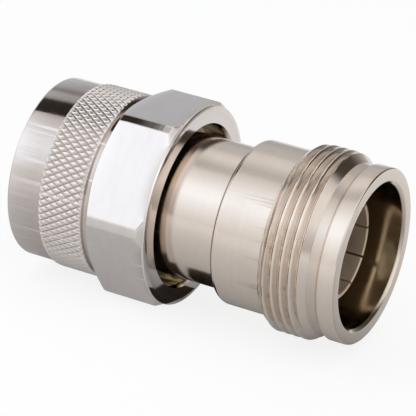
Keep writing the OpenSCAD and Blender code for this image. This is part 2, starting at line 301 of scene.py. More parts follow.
class Skin:
    """Points and faces of one mesh, kept as rings of points about the X axis."""

    def __init__(self):
        self.points = []
        self.faces = []
        self.count = 0

    def rows(self, places, radii, angles):
        """Adds one ring of points for each row of the arrays and returns the numbers of the points."""
        places, radii, angles = np.broadcast_arrays(places, radii, angles)
        spots = np.stack((places, radii * np.cos(angles), radii * np.sin(angles)), axis=-1)
        numbers = np.arange(places.size).reshape(places.shape) + self.count
        self.points.append(spots.reshape(-1, 3))
        self.count += places.size
        return numbers

    def turned(self, steps, angles):
        """Rings of an open outline."""
        return self.rows(*in_rows(rounded(steps, closed=False)), angles)

    def cover(self, rows, skip=None):
        """Quads between neighbouring rings of equal count. A true value in skip leaves that quad out."""
        after = np.roll(rows, -1, axis=1)
        quads = np.stack((rows[:-1], rows[1:], after[1:], after[:-1]), axis=-1)
        if skip is not None:
            quads = quads[~skip]
        self.faces.extend(quads.reshape(-1, 4).tolist())

    def cross_cover(self, rows, rising):
        """Triangles between neighbouring rings, split along the diagonal that each cell's crease runs on."""
        after = np.roll(rows, -1, axis=1)
        a, b, c, d = rows[:-1], rows[1:], after[1:], after[:-1]
        split_ac = np.stack((a, b, c, a, c, d), axis=-1)
        split_bd = np.stack((a, b, d, b, c, d), axis=-1)
        cells = np.where(rising[..., None], split_ac, split_bd)
        self.faces.extend(cells.reshape(-1, 3).tolist())

    def step(self, many, few):
        """Faces of a flat ring between a fine circle and a coarse one that divides it."""
        share_of = len(many) // len(few)
        for i, near in enumerate(few):
            run = [int(many[(i * share_of + j) % len(many)]) for j in range(share_of + 1)]
            self.faces.append(run + [int(few[(i + 1) % len(few)]), int(near)])

    def close_ends(self, rows, outline):
        """Closes the first and last rings with triangles to the outline's two ends on the axis."""
        for ring, (_, place) in ((rows[0], outline[0]), (rows[-1], outline[-1])):
            self.points.append(np.array([[place, 0.0, 0.0]]))
            tip = self.count
            self.count += 1
            for first, second in zip(ring, np.roll(ring, -1)):
                self.faces.append([int(first), int(second), tip])

    def mesh(self, name):
        mesh = bpy.data.meshes.new(name)
        mesh.from_pydata(np.concatenate(self.points).tolist(), [], self.faces)
        mesh.update()
        return mesh

    def build(self, name):
        """The finished piece, with its faces outwards and its shading smooth between sharp edges."""
        mesh = self.mesh(name)
        piece = put(name, mesh)
        face_outwards(mesh)
        mesh.shade_smooth()
        mesh.set_sharp_from_angle(angle=SMOOTH_ANGLE)
        shading = piece.modifiers.new("even shading", "WEIGHTED_NORMAL")
        shading.keep_sharp = True
        return piece


def face_outwards(mesh):
    """Turns all faces the same way, with the outside out."""
    import bmesh

    work = bmesh.new()
    work.from_mesh(mesh)
    bmesh.ops.recalc_face_normals(work, faces=work.faces[:])
    work.to_mesh(mesh)
    work.free()
    mesh.update()


def even_angles(columns):
    return np.arange(columns) * FULL_TURN / columns


def in_rows(outline):
    """Places and radii of an outline of (radius, place), one row for each point."""
    radii, places = (np.array(v)[:, None] for v in zip(*outline))
    return places, radii


def rounded(steps, closed=True):
    """Outline of (radius, place) from steps of one radius.

    A step is the radius, then the places of its corners, then their fillets in millimetres.
    """
    corners = []
    for radius, *rest in steps:
        half = len(rest) // 2
        corners += [(radius, place, fillet * MM) for place, fillet in zip(rest[:half], rest[half:])]
    outline = []
    last = len(corners) - 1
    for i, (radius, place, fillet) in enumerate(corners):
        corner = Vector((radius, place))
        if not fillet or (not closed and i in (0, last)):
            outline.append((radius, place))
            continue
        before = Vector(corners[i - 1][:2]) - corner
        behind = Vector(corners[i + 1 if i < last else 0][:2]) - corner
        turn = math.pi - before.angle(behind)
        cut = min(fillet * math.tan(turn / 2), 0.48 * before.length, 0.48 * behind.length)
        reach = cut / math.tan(turn / 2) / math.cos(turn / 2)
        centre = corner + (before.normalized() + behind.normalized()).normalized() * reach
        spoke = corner + before.normalized() * cut - centre
        side = 1 if spoke.cross(corner + behind.normalized() * cut - centre) > 0 else -1
        parts = max(2, round(turn / FILLET_STEP))
        for k in range(parts + 1):
            outline.append(tuple(centre + Matrix.Rotation(side * turn * k / parts, 2) @ spoke))
    return outline


def finer(outline, low, high, spacing, closed=True):
    """Adds points to the stretches of an outline that lie between two places."""
    points = list(outline) + ([outline[0]] if closed else [])
    dense = []
    for (r0, x0), (r1, x1) in zip(points[:-1], points[1:]):
        inside = low - HAIR <= min(x0, x1) and max(x0, x1) <= high + HAIR
        parts = max(1, math.ceil(math.hypot(r1 - r0, x1 - x0) / spacing)) if inside else 1
        dense.extend((r0 + (r1 - r0) * k / parts, x0 + (x1 - x0) * k / parts) for k in range(parts))
    return dense if closed else dense + [points[-1]]


def thread_rise(turns):
    """Height of a rounded thread, 0 in the groove and 1 on the crest, for a position counted in pitches."""
    flank = np.clip((off_whole(turns) - 0.05) / 0.38, 0, 1)
    return flank * flank * (3 - 2 * flank) * 0.55 + flank * 0.45


def turned_piece(name, outline, columns=BODY_COLUMNS, form=None):
    """A closed outline turned about the axis. form changes the radii, from angles, radii and places."""
    skin = Skin()
    places, radii = in_rows(outline)
    angles = even_angles(columns)
    if form:
        radii = form(angles, radii, places)
    rows = skin.rows(places, radii, angles)
    skin.cover(np.vstack((rows, rows[:1])))
    return skin.build(name)


def turned_rod(name, outline, columns):
    """An outline that starts and ends on the axis, turned about it."""
    skin = Skin()
    rows = skin.rows(*in_rows(outline[1:-1]), even_angles(columns))
    skin.cover(rows)
    skin.close_ends(rows, outline)
    return skin.build(name)


def slotted_tube(name, outline, slots, width, depth_place, turn, parts, rod=False):
    """A turned tube with thin parallel slots sawn in from its +X end down to depth_place."""
    skin = Skin()
    inner = outline[1:-1] if rod else outline
    pitch = FULL_TURN / slots
    rows = []
    for radius, place in inner:
        half = math.asin(width / 2 / max(radius, width))
        spread = half + (pitch - 2 * half) * np.linspace(0, 1, parts + 1)
        angles = turn + (np.arange(slots)[:, None] * pitch + spread).ravel()
        rows.append(skin.rows(place, radius, angles))
    rows = np.array(rows)
    places = np.array([p for _, p in inner])
    in_slot = places >= depth_place - 0.1 * HAIR
    slot_column = np.arange(rows.shape[1]) % (parts + 1) == parts
    loop = rows
    gaps = in_slot[:-1] & in_slot[1:]
    if rod:
        skin.close_ends(rows, outline)
    else:
        loop = np.vstack((rows, rows[:1]))
        gaps = np.append(gaps, in_slot[-1] & in_slot[0])
    skin.cover(loop, skip=gaps[:, None] & slot_column)
    sawn = np.nonzero(in_slot)[0]
    for column in np.nonzero(slot_column)[0]:
        near = rows[sawn, column].tolist()
        far = rows[sawn, (column + 1) % rows.shape[1]].tolist()
        skin.faces.extend([near, far[::-1], [near[0], near[-1], far[-1], far[0]]])
    return skin.build(name)


# ---- node groups and finishes ----


def fill(tree, node, values):
    """Links the inputs of a node, or sets constants on them."""
    for socket, value in values.items():
        if isinstance(value, NodeSocket):
            tree.links.new(value, node.inputs[socket])
        else:
            node.inputs[socket].default_value = value


def add(tree, kind, values=None, **settings):
    """One shader node, with its settings, values and links."""
    node = tree.nodes.new("ShaderNode" + kind)
    for key, value in settings.items():
        setattr(node, key, value)
    fill(tree, node, values or {})
    return node


def maths(tree, operation, *values):
    """Arithmetic on sockets and numbers."""
    return add(tree, "Math", dict(enumerate(values)), operation=operation).outputs[0]


def noise(tree, spot, scale, detail, dimensions="3D", **more):
    """Noise from 0 to 1. Further inputs are given by name."""
    values = {"Vector": spot, "Scale": scale, "Detail": detail, **more}
    return add(tree, "TexNoise", values, noise_dimensions=dimensions).outputs["Fac"]


def eased(tree, value, low, high):
    """Maps low..high to 0..1."""
    return add(tree, "MapRange", {0: value, "From Min": low, "From Max": high}).outputs["Result"]


def scaled(tree, value, low, high):
    """Maps 0..1 to low..high."""
    return add(tree, "MapRange", {0: value, "To Min": low, "To Max": high}).outputs["Result"]


def mixed(tree, factor, first, second):
    """A mix of two colours by a factor."""
    return add(tree, "Mix", {0: factor, 6: first, 7: second}, data_type="RGBA").outputs[2]


def object_place(tree):
    """The point on the object, and its coordinates as sockets X, Y and Z."""
    spot = add(tree, "TexCoord").outputs["Object"]
    return spot, add(tree, "SeparateXYZ", {0: spot}).outputs


def axis_distance(tree, apart):
    """Distance from the X axis."""
    across = add(tree, "CombineXYZ", {"Y": apart["Y"], "Z": apart["Z"]}).outputs[0]
    return add(tree, "VectorMath", {0: across}, operation="LENGTH").outputs["Value"]


def lathe_marks(tree, given):
    """Fine marks left by the lathe: rings along the axis on turned faces and about it on flat ones."""
    spot, apart = object_place(tree)
    drift = maths(tree, "MULTIPLY", noise(tree, spot, 180.0, 2.0), given["Waver"])
    place = maths(tree, "ADD", apart["X"], drift)
    plane = add(tree, "CombineXYZ", {"X": place, "Y": axis_distance(tree, apart)}).outputs[0]
    broad = maths(tree, "MULTIPLY", given["Fineness"], 0.13)
    return {
        "Height": noise(tree, plane, given["Fineness"], 3.0, "2D", Roughness=0.6),
        "Tone": noise(tree, plane, broad, 2.0, "2D"),
    }


def handling_marks(tree, given):
    """Faint cloudy marks from handling, and a scatter of tiny specks in the plating."""
    spot, _ = object_place(tree)
    clouds = noise(tree, spot, given["Cloud size"], 4.0, Roughness=0.6, Distortion=0.5)
    return {"Clouds": eased(tree, clouds, 0.38, 0.68), "Specks": noise(tree, spot, given["Speck size"], 1.0)}


def edges_and_hollows(tree, given):
    """Masks of the worn outer edges and of the hollows, which hold a little dirt and where shade is painted.
    """
    bend = add(tree, "NewGeometry").outputs["Pointiness"]
    top = maths(tree, "ADD", LEVEL_BEND, given["Reach"])
    foot = maths(tree, "SUBTRACT", LEVEL_BEND, given["Reach"])
    return {
        "Edges": eased(tree, bend, LEVEL_BEND + 0.005, top),
        "Hollows": eased(tree, bend, LEVEL_BEND - 0.005, foot),
    }


def bore_shade_mask(tree, given):
    """Mask of the surfaces inside a bore, where shade is painted: nearer to the axis than Radius and in
    front of Back.
    """
    _, apart = object_place(tree)
    depth = maths(tree, "SUBTRACT", given["Radius"], axis_distance(tree, apart))
    ahead = maths(tree, "GREATER_THAN", apart["X"], given["Back"])
    return {"Inside": maths(tree, "MULTIPLY", eased(tree, depth, 0.0, 0.05 * MM), ahead)}


GROUPS = {
    "Lathe marks": (lathe_marks, {"Fineness": 9000.0, "Waver": 0.00002}),
    "Handling marks": (handling_marks, {"Cloud size": 260.0, "Speck size": 9000.0}),
    "Worn edges with hollow dirt and shade": (edges_and_hollows, {"Reach": 0.035}),
    "Shade inside bores": (bore_shade_mask, {"Radius": 8 * MM, "Back": FAR_BACK}),
}


def new_group(name):
    """One of the node groups, with float inputs and outputs."""
    maker, inputs = GROUPS[name]
    tree = bpy.data.node_groups.new(name, "ShaderNodeTree")
    for label, value in inputs.items():
        socket = tree.interface.new_socket(label, in_out="INPUT", socket_type="NodeSocketFloat")
        socket.default_value = value
    results = maker(tree, tree.nodes.new("NodeGroupInput").outputs)
    for label in results:
        tree.interface.new_socket(label, in_out="OUTPUT", socket_type="NodeSocketFloat")
    fill(tree, tree.nodes.new("NodeGroupOutput"), results)
    return tree


def shared(tree, name, values=None):
    """Outputs of a shared node group, which is made the first time."""
    group = bpy.data.node_groups.get(name) or new_group(name)
    return add(tree, "Group", values, node_tree=group).outputs


def bumped(tree, height, distance):
    """The normal over small bumps."""
    bump = add(tree, "Bump", {"Strength": 1.0, "Distance": distance, "Height": height})
    return bump.outputs["Normal"]


def new_finish(name):
    """A material with its node tree and its Principled shader."""
    finish = bpy.data.materials.new(name)
    finish.use_nodes = True
    return finish, finish.node_tree, finish.node_tree.nodes["Principled BSDF"]


def with_alpha(colour, gain=1.0):
    return (*(min(1.0, c * gain) for c in colour), 1.0)


def tinted(colour, tone, gain=1.0):
    return with_alpha([c * t for c, t in zip(colour, tone)], gain)


def plated_finish(name, colour, roughness, hollow_dirt_and_shade, marks=2.4e-6, fineness=9000.0, bore=(0.0, 0.0)):
    """Turned and plated metal: lathe marks, handling clouds, brighter edges, warm, dull hollows of dirt and
    painted shade, and painted shade in bores.
    """
    finish, tree, shader = new_finish(name)
    lathe = shared(tree, "Lathe marks", {"Fineness": fineness})
    handling = shared(tree, "Handling marks")
    edges = shared(tree, "Worn edges with hollow dirt and shade")
    inside = shared(tree, "Shade inside bores", {"Radius": bore[0], "Back": bore[1]})["Inside"]
    coat = mixed(tree, lathe["Tone"], with_alpha(colour, 0.95), with_alpha(colour, 1.04))
    coat = mixed(tree, scaled(tree, handling["Clouds"], 0.0, 0.16), coat, with_alpha(GRIME_AND_SHADE_TONE, 0.85))
    coat = mixed(tree, scaled(tree, edges["Edges"], 0.0, 0.5), coat, with_alpha(colour, 1.14))
    # painted shade with a little dirt: hollows found by pointiness turn darker and warmer
    coat = mixed(tree, scaled(tree, edges["Hollows"], 0.0, hollow_dirt_and_shade), coat, tinted(colour, GRIME_AND_SHADE_TONE, 0.62))
    dull = scaled(tree, handling["Clouds"], roughness, roughness + 0.07)
    streak = scaled(tree, lathe["Tone"], -0.035, 0.035)
    height = maths(tree, "MULTIPLY_ADD", handling["Specks"], 0.35, lathe["Height"])
    values = {
        # painted shade: inside the bores the colour turns darker and browner
        "Base Color": mixed(tree, inside, coat, tinted(colour, BORE_SHADE_TONE)),
        "Metallic": 1.0,
        "Roughness": maths(tree, "ADD", dull, streak),
        "Normal": bumped(tree, height, marks),
    }
    fill(tree, shader, values)
    return finish


def moulded_finish(name, colour, roughness, grain, soft=0.0):
    """Wax, silicone or rubber: grain, slightly uneven colour and lathe or mould marks."""
    finish, tree, shader = new_finish(name)
    handling = shared(tree, "Handling marks", {"Cloud size": 420.0, "Speck size": 14000.0})
    lathe = shared(tree, "Lathe marks", {"Fineness": 6000.0})
    coat = mixed(tree, handling["Clouds"], with_alpha(colour, 0.92), with_alpha(colour, 1.05))
    height = maths(tree, "MULTIPLY_ADD", lathe["Height"], 0.5, handling["Specks"])
    values = {
        "Base Color": mixed(tree, scaled(tree, lathe["Tone"], 0.0, 0.25), coat, with_alpha(colour, 1.1)),
        "Roughness": scaled(tree, handling["Clouds"], roughness, roughness + 0.1),
        "Normal": bumped(tree, height, grain),
        "Subsurface Weight": soft,
        "Subsurface Scale": 0.8 * MM,
    }
    fill(tree, shader, values)
    return finish


def finish_for(slot_name):
    """The finish of one of the record's material slots, made the first time it is asked for."""
    scene = bpy.context.scene
    tones = scene.adapter_finishes
    # reach of the shade painted inside the nut and in the jack's mouth
    nut_bore_shade = (scene.adapter_nut.back_bore + 0.1 * MM, FAR_BACK)
    jack_bore_shade = (scene.adapter_jack.mouth_radius + 0.1 * MM, SPIGOT_END)
    # Each entry follows the arguments of its finish.
    # the third number is the strength of the dirt and painted shade in the hollows
    plated = {
        "plated_nut": (tones.nut_plating, tones.nut_roughness, 0.4, 2.4e-6, 9000.0, nut_bore_shade),
        "plated_body": (tones.body_plating, tones.body_roughness, 0.75, 2.4e-6, 9000.0, jack_bore_shade),
        "basket_metal": (tones.basket_metal, 0.42, 0.3, 1.6e-6),
        "contact_metal": (tones.contact_metal, 0.16, 0.4, 1.2e-6, 12000.0),
        "spring_bronze": (tones.spring_bronze, 0.3, 0.4, 1.6e-6),
    }
    moulded = {
        "white_insulator": (tones.bead_white, 0.42, 3e-6, 0.3),
        "gasket_rubber": (tones.gasket_red, 0.6, 6e-6),
        "seal_rubber": (tones.seal_black, 0.55, 6e-6),
    }
    name = slot_name + "_finish"
    ready = bpy.data.materials.get(name)
    if ready:
        return ready
    if slot_name in plated:
        return plated_finish(name, *plated[slot_name])
    return moulded_finish(name, *moulded[slot_name])


def dress(piece, slot_name, node, body="body"):
    """Gives a finished piece its material and its body, and hides the solid it stands for."""
    piece.data.materials.clear()
    piece.data.materials.append(finish_for(slot_name))
    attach(piece, body)
    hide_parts(node)


# ---- pieces ----


class ADAPTER_OT_jack(Operator):
    """Build the threaded jack with its collar, thread, barrel and mouth"""

    bl_idname = "adapter.jack"
    bl_label = "Threaded jack"

    def execute(self, context):
        jack = context.scene.adapter_jack
        collar_back = MOUTH - jack.collar_length
        lip_back = collar_back + jack.neck_length + jack.neck_slope
        crest_front = collar_back - jack.cone_length
        crest_back = crest_front - jack.thread_length
        lead_back = crest_back - jack.lead_length
        cavity_floor = MOUTH - jack.mouth_depth
        steps = [
            (jack.mouth_radius + jack.mouth_break, MOUTH, 0.05),
            (jack.collar_radius, MOUTH, lip_back, jack.collar_round / MM, 0.06),
            (jack.neck_radius, lip_back - jack.neck_slope, collar_back, 0.1, 0.08),
            (jack.thread_radius, crest_front, crest_back, 0.05, 0.05),
            (jack.thread_radius - jack.lead_drop, lead_back, 0.06),
            (jack.barrel_radius, lead_back, JACK_BACK, 0.05, jack.barrel_round / MM),
            (jack.socket_bore, JACK_BACK, cavity_floor - jack.web_thickness, 0.05, 0),
            (jack.web_hole, cavity_floor - jack.web_thickness, cavity_floor, 0, 0.04),
            (jack.mouth_radius, cavity_floor, MOUTH - jack.mouth_break, 0.15, 0.05),
        ]
        outline = finer(rounded(steps), lead_back, collar_back, 0.04 * MM)
        root = jack.thread_radius - jack.thread_depth

        def threaded(angles, radii, places):
            along = (places - crest_back + 0.2 * MM) / jack.thread_pitch
            around = (angles - jack.thread_start) / FULL_TURN
            profile = root + jack.thread_depth * thread_rise(along - around)
            cut = (places >= lead_back - HAIR) & (radii > root)
            return np.where(cut, np.minimum(radii, profile), radii)

        dress(turned_piece("jack_body_threaded", outline, form=threaded), "plated_body", "jack_body")
        return {"FINISHED"}


class ADAPTER_OT_stem(Operator):
    """Build the stem with its spigot, its snap ring groove and the plug's contact sleeve"""

    bl_idname = "adapter.stem"
    bl_label = "Stem and contact sleeve"

    def execute(self, context):
        stem = context.scene.adapter_stem
        jack = context.scene.adapter_jack
        contact = context.scene.adapter_contacts
        spigot = jack.socket_bore - FIT
        seal_front = JACK_BACK + 0.9 * MM
        seal_back = seal_front + 1.0 * MM
        groove_front = GASKET_SEAT + stem.ring_groove_place
        groove_back = groove_front + stem.ring_groove_width
        groove_floor = stem.stem_radius - stem.ring_groove
        bead_floor = SPIGOT_END - contact.jack_bead
        line_step = bead_floor - 2.0 * MM
        bead_seat = contact.jack_bead_radius + FIT
        steps = [
            (bead_seat, SPIGOT_END, 0.05),
            (spigot, SPIGOT_END, seal_back, 0.1, 0.04),
            (stem.seal_groove_floor, seal_back, seal_front, 0.06, 0.06),
            (spigot, seal_front, JACK_BACK, 0.04, 0),
            (stem.stem_radius, JACK_BACK, groove_back, 0.05, 0.04),
            (groove_floor, groove_back, groove_front, 0.06, 0.06),
            (stem.stem_radius, groove_front, GASKET_SEAT + stem.stem_break, 0.04, 0.06),
            (stem.stem_radius - stem.stem_break, GASKET_SEAT, 0.06),
            (stem.sleeve_radius, GASKET_SEAT, SLEEVE_END, 0.1, 0.24),
            (stem.sleeve_bore, SLEEVE_END, PLUG_BEAD_BACK, 0.16, 0.04),
            (stem.line_bore, PLUG_BEAD_BACK, line_step, 0.05, 0.05),
            (contact.basket_bore, line_step, bead_floor, 0.05, 0.05),
            (bead_seat, bead_floor, 0.04),
        ]
        dress(turned_piece("plug_stem", rounded(steps)), "plated_body", "plug_body")
        return {"FINISHED"}


def off_whole(value):
    """Distance from the nearest whole number."""
    return np.abs(value - np.round(value))


def hexagon_radius(angles, across, blank):
    """Distance of a hexagon's side from the axis, with flats up and down and a round blank's corners."""
    off = np.abs((angles + math.pi / 6) % (math.pi / 3) - math.pi / 6)
    return np.minimum(across / 2 / np.cos(math.pi / 6 - off), blank)


class ADAPTER_OT_nut(Operator):
    """Build the coupling nut with its hexagon, knurled grip, skirt, recess and inner thread"""

    bl_idname = "adapter.nut"
    bl_label = "Coupling nut"

    def execute(self, context):
        nut = context.scene.adapter_nut
        skin = Skin()
        outside = even_angles(nut.knurl_diamonds * KNURL_CELLS)
        shoulder = NUT_BACK - nut.back_bore_depth
        neck_back = NUT_BACK - nut.hexagon_length
        grip_back = neck_back - nut.neck_width
        skirt_back = grip_back - nut.grip_width

        recess = self.recess_rows(skin, nut, shoulder, outside)
        hexagon = self.hexagon_rows(skin, nut, neck_back, outside)
        neck = skin.rows(grip_back, nut.neck_radius, outside[None, :])
        grip = self.grip_rows(skin, nut, grip_back, outside)
        front = self.skirt_rows(skin, nut, skirt_back, outside)
        bore = self.bore_rows(skin, nut, shoulder, grip_back)
        skin.cover(np.vstack((recess, hexagon, neck, grip[:1])))
        skin.cover(np.vstack((grip[-1:], front)))
        skin.cover(bore)
        skin.step(front[-1], bore[0])
        skin.step(recess[0], bore[-1])
        dress(skin.build("coupling_nut_knurled"), "plated_nut", "coupling_nut", "nut")
        return {"FINISHED"}

    def recess_rows(self, skin, nut, shoulder, angles):
        steps = [
            (nut.back_bore - 0.3 * MM, shoulder, 0),
            (nut.back_bore, shoulder, NUT_BACK - nut.back_bore_break_length, 0.1, 0.1),
            (nut.back_bore + nut.back_bore_break, NUT_BACK, 0),
        ]
        return skin.turned(steps, angles)

    def hexagon_rows(self, skin, nut, neck_back, angles):
        """The flange, the six flats sunk between the corners, and the front cone."""
        side = hexagon_radius(angles, nut.across_flats, nut.blank_radius)
        ease = 0.05 * MM
        lip = nut.flange_radius
        flange_front = NUT_BACK - nut.flange_thickness
        steps = [
            (lip - nut.flange_break - 0.4 * MM, NUT_BACK, 0),
            (lip - nut.flange_break, NUT_BACK, 0.12),
            (lip, NUT_BACK - nut.flange_break_length, flange_front, 0.06, 0),
        ]
        above = np.maximum(side - lip, 0)
        below = np.maximum(lip - side, 0)
        back_edge = flange_front - 2 * ease - above * math.tan(nut.back_slope) - below * 0.12
        back = np.array((0.06, 0.3, 0.65, 0.94))[:, None]
        foot = nut.neck_radius
        rise = math.tan(nut.front_slope)
        front_edge = neck_back + (side - foot) * rise
        flat = np.linspace(0, 1, 8)[:, None]
        cone = foot + (side - ease - foot) * np.linspace(1, 0, 6)[:, None]
        bands = [
            (flange_front + (back_edge - flange_front) * back, lip + (side - lip) * back),
            (back_edge - ease + (front_edge - back_edge + 2 * ease) * flat, side),
            (front_edge + 0.3 * ease, side - 0.3 * ease),
            (neck_back + (cone - foot) * rise, cone),
        ]
        flange = skin.turned(steps, angles)
        return np.vstack([flange] + [skin.rows(*band, angles[None, :]) for band in bands])

    def grip_rows(self, skin, nut, grip_back, angles):
        """Diamonds between two crossing sets of rolled grooves."""
        along = np.arange(nut.knurl_rows * KNURL_CELLS + 1)[:, None] / KNURL_CELLS
        around = np.arange(angles.size) / KNURL_CELLS
        near = np.minimum(off_whole(around + along), off_whole(around - along))
        from_end = np.minimum(along, nut.knurl_rows - along)
        diamond = np.interp(near * KNURL_CELLS, range(5), (0, 0.55, 0.9, 1, 1))
        rise = np.minimum(diamond, np.interp(from_end * KNURL_CELLS, range(3), (0.25, 0.8, 1)))
        radii = nut.grip_radius - nut.knurl_depth * (1 - rise)
        places = grip_back - along * nut.grip_width / nut.knurl_rows
        rows = skin.rows(places, radii, angles)
        falling = around + along[:-1] + 1 / KNURL_CELLS
        skin.cross_cover(rows, off_whole(around - along[:-1]) < off_whole(falling))
        return rows

    def skirt_rows(self, skin, nut, skirt_back, angles):
        steps = [
            (nut.skirt_radius, skirt_back, NUT_FRONT, 0, nut.skirt_round / MM),
            (nut.thread_bore + nut.mouth_break + 0.5 * MM, NUT_FRONT, 0),
        ]
        return skin.turned(steps, angles)

    def bore_rows(self, skin, nut, shoulder, thread_back):
        """Mouth break, thread, relief, running bore and snap ring groove, from the front to the recess."""
        angles = even_angles(BORE_COLUMNS)
        ring_front = RING_FRONT - 0.2 * MM
        ring_back = RING_BACK + 0.2 * MM
        relief_back = thread_back + nut.relief_length
        steps = [
            (nut.thread_bore + nut.mouth_break + 0.2 * MM, NUT_FRONT, 0),
            (nut.thread_bore + nut.mouth_break, NUT_FRONT, 0.05),
            (nut.thread_bore, NUT_FRONT + nut.mouth_break, thread_back, 0.05, 0),
            (nut.relief_radius, thread_back, relief_back, 0.1, 0.1),
            (nut.run_radius, relief_back, ring_front, 0.05, 0.04),
            (nut.ring_radius, ring_front, ring_back, 0.08, 0.08),
            (nut.run_radius, ring_back, shoulder, 0.04, 0.06),
            (nut.run_radius + 0.3 * MM, shoulder, 0),
        ]
        outline = rounded(steps, closed=False)
        places, radii = in_rows(finer(outline, NUT_FRONT, thread_back, 0.07 * MM, closed=False))
        turns = (places - NUT_FRONT) / nut.thread_pitch - angles / FULL_TURN
        root = nut.thread_bore + nut.thread_depth
        profile = root - nut.thread_depth * thread_rise(turns)
        cut = (places <= thread_back + HAIR) & (radii < root)
        return skin.rows(places, np.where(cut, np.maximum(radii, profile), radii), angles)


class ADAPTER_OT_basket(Operator):
    """Build the slotted contact basket"""

    bl_idname = "adapter.basket"
    bl_label = "Contact basket"

    def execute(self, context):
        contact = context.scene.adapter_contacts
        jack = context.scene.adapter_jack
        outer = contact.basket_bore + contact.basket_wall
        flange_radius = jack.socket_bore - FIT
        flange_front = BASKET_BACK + contact.basket_flange
        slot_end = BASKET_TIP - contact.slot_length
        steps = [
            (contact.basket_bore, BASKET_TIP, 0.06),
            (outer, BASKET_TIP, slot_end, flange_front, 0.3, 0, 0.05),
            (flange_radius, flange_front, BASKET_BACK, 0.06, 0.06),
            (contact.basket_bore, BASKET_BACK, slot_end, 0.06, 0),
        ]
        outline = rounded(steps)
        outline = outline[-1:] + outline[:-1]
        slots = (contact.basket_slots, contact.slot_width, slot_end, contact.slot_turn)
        basket = slotted_tube("contact_basket", outline, *slots, 14)
        dress(basket, "basket_metal", "jack_basket")
        return {"FINISHED"}


class ADAPTER_OT_centre_line(Operator):
    """Build the centre socket and the centre pin"""

    bl_idname = "adapter.centre_line"
    bl_label = "Centre socket and pin"

    def execute(self, context):
        contact = context.scene.adapter_contacts
        slot_end = SOCKET_TIP - contact.socket_slot_length
        hole_end = SOCKET_TIP - contact.socket_depth
        collar_back = JACK_BEAD_BACK - 0.6 * MM
        drill_cone = 0.4 * MM
        steps = [
            (0, hole_end - drill_cone, 0),
            (contact.socket_hole, hole_end, slot_end, SOCKET_TIP, 0, 0, 0.22),
            (contact.socket_radius, SOCKET_TIP, slot_end, JACK_BEAD_BACK, 0.25, 0, 0.03),
            (contact.socket_collar, JACK_BEAD_BACK, collar_back, 0.06, 0.1),
            (contact.shank_radius, collar_back, SOCKET_END, 0.08, 0.08),
            (contact.stub_radius + FIT, SOCKET_END, STUB_END + FIT, 0.05, 0),
            (0, STUB_END + FIT, 0),
        ]
        outline = rounded(steps, closed=False)
        slots = (4, contact.socket_slot, slot_end, math.pi / 4)
        socket = slotted_tube("centre_socket", outline, *slots, 15, rod=True)
        dress(socket, "contact_metal", "jack_socket")
        shank_front = PLUG_BEAD_FRONT - contact.shank_length
        steps = [
            (0, STUB_END, 0),
            (contact.stub_radius, STUB_END, PLUG_BEAD_BACK, 0.08, 0),
            (contact.neck_radius, PLUG_BEAD_BACK, PLUG_BEAD_FRONT, 0.03, 0.04),
            (contact.shank_radius, PLUG_BEAD_FRONT, shank_front, 0.06, 0.14),
            (contact.tip_radius, shank_front, PIN_TIP, 0.12, 0.6),
            (contact.tip_radius * 0.12, PIN_TIP, 0),
            (0, PIN_TIP, 0),
        ]
        pin = turned_rod("centre_pin", rounded(steps, closed=False), 96)
        dress(pin, "contact_metal", "plug_pin")
        return {"FINISHED"}


class ADAPTER_OT_beads(Operator):
    """Build the two insulating beads and the flat gasket"""

    bl_idname = "adapter.beads"
    bl_label = "Beads and gasket"

    def execute(self, context):
        contact = context.scene.adapter_contacts
        stem = context.scene.adapter_stem
        jack_radii = (contact.socket_radius + FIT, contact.jack_bead_radius)
        jack_bead = self.bead("jack_bead", *jack_radii, JACK_BEAD_BACK, JACK_BEAD_FRONT)
        dress(jack_bead, "white_insulator", "jack_insulator")
        plug_radii = (contact.neck_radius + FIT, stem.sleeve_bore - FIT)
        plug_bead = self.bead("plug_bead", *plug_radii, PLUG_BEAD_FRONT, PLUG_BEAD_BACK)
        dress(plug_bead, "white_insulator", "plug_insulator")
        gasket_front = GASKET_SEAT - stem.gasket_thickness
        steps = [
            (stem.gasket_inner, GASKET_SEAT, 0.12),
            (stem.gasket_outer, GASKET_SEAT, gasket_front, 0.12, 0.18),
            (stem.gasket_inner, gasket_front, 0.18),
        ]
        dress(turned_piece("flat_gasket", rounded(steps), 192), "gasket_rubber", "plug_gasket")
        return {"FINISHED"}

    def bead(self, name, inner, outer, low, high):
        """A white bead with a shallow turned recess in each face."""
        rim = outer - 0.55 * MM
        hub = inner + 0.45 * MM
        wall = 0.1 * MM
        sunk = 0.18 * MM
        face = [(inner, 0), (hub, 0), (hub + wall, sunk), (rim - wall, sunk), (rim, 0)]
        steps = [(radius, high - depth, 0.08) for radius, depth in face]
        steps.append((outer, high, low, 0.15, 0.15))
        steps += [(radius, low + depth, 0.08) for radius, depth in reversed(face)]
        return turned_piece(name, rounded(steps), 144)


class ADAPTER_OT_ring_and_seal(Operator):
    """Give the snap ring and the seal, which keep their solids, their finishes"""

    bl_idname = "adapter.ring_and_seal"
    bl_label = "Snap ring and seal"

    def execute(self, context):
        for node, slot_name in (("snap_ring", "spring_bronze"), ("body_seal", "seal_rubber")):
            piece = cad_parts[node]
            if not piece.material_slots:
                piece.data.materials.append(None)
            for holder in piece.material_slots:
                holder.material = finish_for(slot_name)
        return {"FINISHED"}


# ---- studio ----

